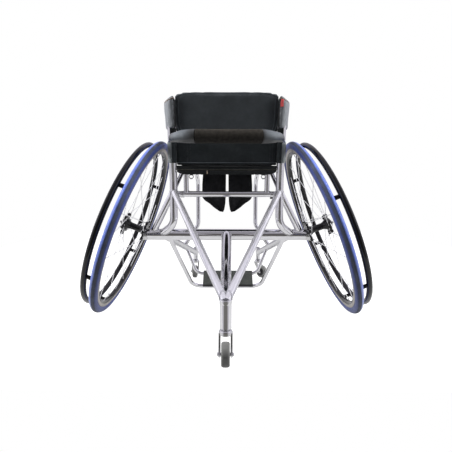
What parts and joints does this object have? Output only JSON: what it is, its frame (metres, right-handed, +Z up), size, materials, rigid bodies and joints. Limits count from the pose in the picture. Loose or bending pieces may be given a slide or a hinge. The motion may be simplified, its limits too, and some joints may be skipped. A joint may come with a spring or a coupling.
{
  "type": "tennis wheelchair",
  "caption": "Rigid sports wheelchair with strongly cambered spoked wheels, handrims, a low padded back, two front casters and a rear anti-tip caster.",
  "frame": {"origin": "centre of the footprint's bounding box on the ground", "axes": "+Y forward, the way the user faces; +X to the user's right; +Z up"},
  "size_m": [0.9184, 0.966, 0.707],
  "materials": {
    "frame_chrome": "polished",
    "tyre": "matt blue rubber with a dark tread",
    "rim_black": "gloss",
    "handrim_black": "high gloss",
    "hub_black": "anodised",
    "bearing_steel": "ground",
    "plain_aluminium": "satin",
    "caster_rubber": "satin",
    "cloth": "matt weave",
    "vinyl": "soft sheen",
    "foam_grip": "matt foam",
    "foot_grip": "fine tread"
  },
  "bodies": {
    "frame": {"anti_tip_barrel": "frame_chrome", "anti_tip_strut_left": "frame_chrome", "anti_tip_strut_right": "frame_chrome", "anti_tip_tube": "frame_chrome", "axle_pin_left": "bearing_steel", "axle_pin_right": "bearing_steel", "axle_receiver_left": "plain_aluminium", "axle_receiver_right": "plain_aluminium", "back_bar": "frame_chrome", "back_bar_pad": "foam_grip", "back_panel": "cloth", "back_wing_left": "vinyl", "back_wing_right": "vinyl", "camber_tube": "frame_chrome", "caster_arm_left": "frame_chrome", "caster_arm_right": "frame_chrome", "caster_housing_left": "frame_chrome", "caster_housing_right": "frame_chrome", "foot_bar": "frame_chrome", "foot_loop": "frame_chrome", "foot_plate": "foot_grip", "lower_back_panel": "cloth", "rail_gusset_left": "frame_chrome", "rail_gusset_right": "frame_chrome", "seat_cushion": "cloth", "seat_flap_left": "cloth", "seat_flap_right": "cloth", "seat_rail_left": "frame_chrome", "seat_rail_right": "frame_chrome", "seat_rear_tube": "frame_chrome", "seat_sling": "cloth", "side_brace_left": "frame_chrome", "side_brace_right": "frame_chrome", "side_post_left": "frame_chrome", "side_post_right": "frame_chrome", "upper_cross_tube": "frame_chrome"},
    "wheel_left": {"tyre_left": "tyre", "rim_left": "rim_black", "handrim_left": "handrim_black", "hub_and_spokes_left": "hub_black", "wheel_bearing_inner_left": "bearing_steel", "wheel_bearing_outer_left": "bearing_steel"},
    "button_left": {"release_button_left": "plain_aluminium"},
    "caster_fork_left": {"caster_left_fork": "plain_aluminium"},
    "caster_wheel_left": {"caster_left_wheel": "caster_rubber"},
    "wheel_right": {"tyre_right": "tyre", "rim_right": "rim_black", "handrim_right": "handrim_black", "hub_and_spokes_right": "hub_black", "wheel_bearing_inner_right": "bearing_steel", "wheel_bearing_outer_right": "bearing_steel"},
    "button_right": {"release_button_right": "plain_aluminium"},
    "caster_fork_right": {"caster_right_fork": "plain_aluminium"},
    "caster_wheel_right": {"caster_right_wheel": "caster_rubber"},
    "caster_fork_rear": {"caster_rear_fork": "plain_aluminium"},
    "caster_wheel_rear": {"caster_rear_wheel": "caster_rubber"}
  },
  "joints": [
    {"name": "wheel_spin_left", "type": "hinge", "parent": "frame", "child": "wheel_left", "pos_m": [-0.3163, -0.01998, 0.28548], "axis": [-0.9348, 0, 0.3551], "continuous": true},
    {"name": "release_button_left", "type": "slide", "parent": "frame", "child": "button_left", "axis": [0.9348, 0, -0.3551], "range_m": [0, 0.005], "stiffness_N_per_m": 400, "springref_m": -0.003},
    {"name": "caster_swivel_left", "type": "hinge", "parent": "frame", "child": "caster_fork_left", "pos_m": [-0.148, 0.46502, 0.08], "axis": [0, 0, 1], "continuous": true},
    {"name": "caster_roll_left", "type": "hinge", "parent": "caster_fork_left", "child": "caster_wheel_left", "pos_m": [-0.14926, 0.44105, 0.029], "axis": [0.9986, -0.0523, 0], "continuous": true},
    {"name": "wheel_spin_right", "type": "hinge", "parent": "frame", "child": "wheel_right", "pos_m": [0.3163, -0.01998, 0.28548], "axis": [0.9348, 0, 0.3551], "continuous": true},
    {"name": "release_button_right", "type": "slide", "parent": "frame", "child": "button_right", "axis": [-0.9348, 0, -0.3551], "range_m": [0, 0.005], "stiffness_N_per_m": 400, "springref_m": -0.003},
    {"name": "caster_swivel_right", "type": "hinge", "parent": "frame", "child": "caster_fork_right", "pos_m": [0.148, 0.46502, 0.08], "axis": [0, 0, 1], "continuous": true},
    {"name": "caster_roll_right", "type": "hinge", "parent": "caster_fork_right", "child": "caster_wheel_right", "pos_m": [0.16406, 0.44718, 0.029], "axis": [0.7431, 0.6691, 0], "continuous": true},
    {"name": "caster_swivel_rear", "type": "hinge", "parent": "frame", "child": "caster_fork_rear", "pos_m": [0, -0.42998, 0.08], "axis": [0, 0, 1], "continuous": true},
    {"name": "caster_roll_rear", "type": "hinge", "parent": "caster_fork_rear", "child": "caster_wheel_rear", "pos_m": [0, -0.45398, 0.029], "axis": [1, 0, 0], "continuous": true}
  ]
}
